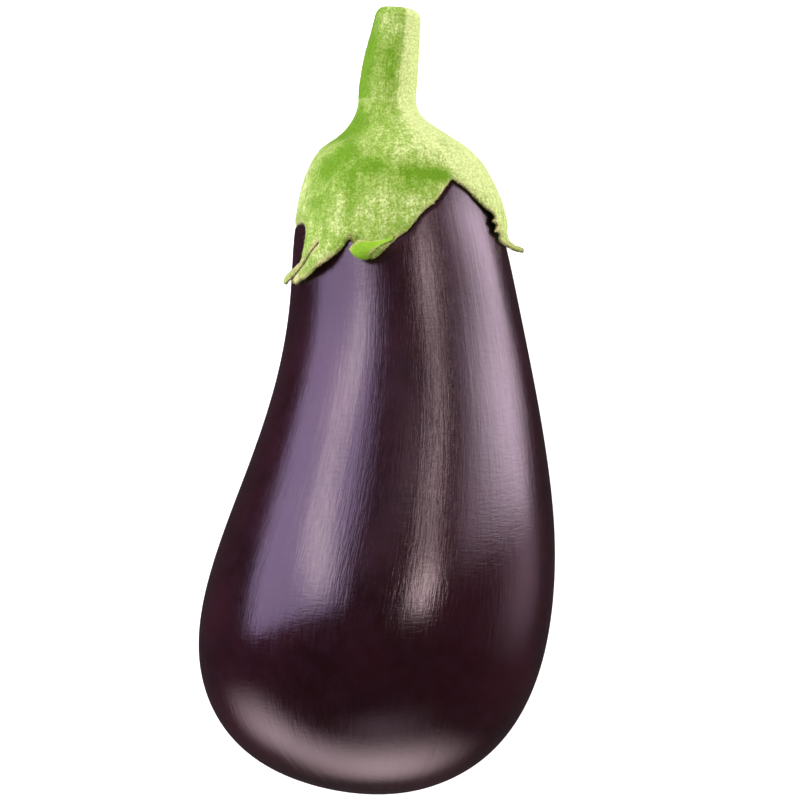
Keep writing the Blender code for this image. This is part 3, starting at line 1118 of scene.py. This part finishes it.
# Softboxes: distance in metres from the middle of the CAD model's box, azimuth from +Y towards +X,
# angle down from overhead, how wide and how high they look from that middle, roll, how much of each
# side and end fades out, colour, and radiance. Angles are in degrees.
SOFTBOXES = {
    "left_warm": (0.4, -53.0, 56.0, 20.0, 44.0, -10.0, 0.4, 0.35, (1.0, 0.80, 0.78), 6.4),
    "left_cool": (0.4, -56.0, 67.5, 54.0, 69.0, 37.0, 0.14, 0.16, (0.76, 0.57, 1.0), 4.7),
    "right": (0.7, 65.0, 94.0, 33.0, 60.0, -14.0, 0.4, 0.4, (1.0, 0.78, 0.97), 8.5),
    "right_haze": (0.7, 88.0, 100.0, 53.0, 60.0, 0.0, 0.5, 0.5, (1.0, 0.68, 0.88), 1.2),
    "right_high": (0.7, 58.0, 67.0, 32.0, 36.0, 0.0, 0.5, 0.5, (1.0, 0.76, 0.95), 3.0),
    "middle": (0.7, 52.0, 32.0, 20.0, 27.0, 37.0, 0.5, 0.45, (1.0, 0.74, 0.78), 14.5),
    "middle_tail": (0.7, 34.5, 45.0, 16.0, 18.0, 30.0, 0.5, 0.5, (1.0, 0.74, 0.80), 9.0),
    "middle_haze": (0.7, 12.0, 46.0, 24.0, 24.0, 0.0, 0.5, 0.5, (1.0, 0.72, 0.86), 1.5),
    "neck_haze": (0.7, -8.0, 36.0, 41.0, 24.0, 0.0, 0.5, 0.5, (1.0, 0.70, 0.95), 0.4),
    "front": (0.7, 176.0, 98.0, 70.0, 64.0, 0.0, 0.5, 0.5, (1.0, 0.74, 0.80), 4.2),
    "front_left": (0.7, -143.0, 94.0, 67.0, 53.0, 0.0, 0.5, 0.5, (1.0, 0.74, 0.84), 4.4),
    "front_haze": (0.7, 172.0, 64.0, 57.0, 41.0, 0.0, 0.5, 0.5, (1.0, 0.74, 0.90), 0.9),
}

# The world is dimmer in the gloss than it is as light, and the camera sees it white.
WORLD_LIGHT = 0.5
WORLD_IN_GLOSS = 0.04
PAPER_GLOW = 0.7
FLOOR_HALF_WIDTH = 4.0
FLOOR_GAP = 0.0002

# The camera looks straight down; its shift from the middle and its height are in millimetres.
CAMERA_LENS = 110.0
CAMERA_SENSOR = 36.0
CAMERA_SHIFT = (5.8, -1.3)
CAMERA_HEIGHT = 665.0


def fading_edge(tree, value, softness):
    """1 in the middle of a softbox, and fading to 0 over a share of its width at each side."""
    from_middle = combine(tree, combine(tree, value, 0.5, "SUBTRACT"), 0.0, "ABSOLUTE")
    return step_mask(tree, from_middle, 0.5, 0.5 - softness)


def add_softbox(
    name, distance, azimuth, zenith, width, height, roll, side_fade, end_fade, colour, radiance
):
    flat, steep = math.radians(azimuth), math.radians(zenith)
    away = Vector((math.sin(steep) * math.sin(flat), math.sin(steep) * math.cos(flat), math.cos(steep)))
    width, height = (2 * distance * math.tan(math.radians(side) / 2) for side in (width, height))
    lamp = bpy.data.lights.new(name, "AREA")
    lamp.shape = "RECTANGLE"
    lamp.size = width
    lamp.size_y = height
    lamp.color = colour
    lamp.energy = radiance * math.pi * width * height
    lamp.use_nodes = True
    tree = lamp.node_tree
    place = add_node(tree, "NewGeometry", {}).outputs["Parametric"]
    sides = add_node(tree, "SeparateXYZ", {0: place}).outputs
    across = fading_edge(tree, sides["X"], side_fade)
    lengthwise = fading_edge(tree, sides["Y"], end_fade)
    fade = combine(tree, across, lengthwise, "MULTIPLY")
    set_inputs(tree, tree.nodes["Emission"], {"Strength": fade})
    holder = add_object(name, lamp)
    holder.location = cad_middle + away * distance
    holder.rotation_mode = "QUATERNION"
    turned = Quaternion((0.0, 0.0, 1.0), math.radians(roll))
    holder.rotation_quaternion = away.to_track_quat("Z", "Y") @ turned
    holder.visible_camera = False


def build_world():
    world = bpy.data.worlds.new("studio")
    bpy.context.scene.world = world
    world.use_nodes = True
    tree = world.node_tree
    ray = add_node(tree, "LightPath", {}).outputs
    light = remap(tree, ray["Is Glossy Ray"], 0.0, 1.0, WORLD_LIGHT, WORLD_IN_GLOSS)
    strength = combine(tree, light, ray["Is Camera Ray"], "MAXIMUM")
    set_inputs(tree, tree.nodes["Background"], {"Color": WHITE, "Strength": strength})


def build_floor():
    """White paper just under the fruit, which doesn't show in the gloss of the skin."""
    mesh = bpy.data.meshes.new("floor")
    half = FLOOR_HALF_WIDTH
    corners = [(-half, -half, 0), (half, -half, 0), (half, half, 0), (-half, half, 0)]
    mesh.from_pydata(corners, [], [(0, 1, 2, 3)])
    mesh.materials.append(paper_material())
    floor = add_object("floor", mesh)
    floor.location.z = cad_box[0].z - FLOOR_GAP
    floor.visible_glossy = False
    floor.visible_shadow = False


def build_camera():
    camera = bpy.data.cameras.new("camera")
    camera.lens = CAMERA_LENS
    camera.sensor_width = CAMERA_SENSOR
    holder = add_object("camera", camera)
    shift_x, shift_y = CAMERA_SHIFT
    holder.location = (cad_middle.x + shift_x * MM, cad_middle.y + shift_y * MM, CAMERA_HEIGHT * MM)
    bpy.context.scene.camera = holder
    bpy.context.scene.view_settings.view_transform = "Standard"


outline = calyx_margin()
mottle = mottle_group()
fibres = fibre_group()
tissue = tissue_group(mottle, fibres)
build_fruit(skin_material(mottle, fibres), outline)
calyx_side = build_calyx(calyx_material(tissue), outline)
stem_side = build_stem(stem_material(tissue))
build_down(down_material(mottle), (calyx_side, stem_side))
for softbox, look in SOFTBOXES.items():
    add_softbox(softbox, *look)
build_world()
build_floor()
build_camera()
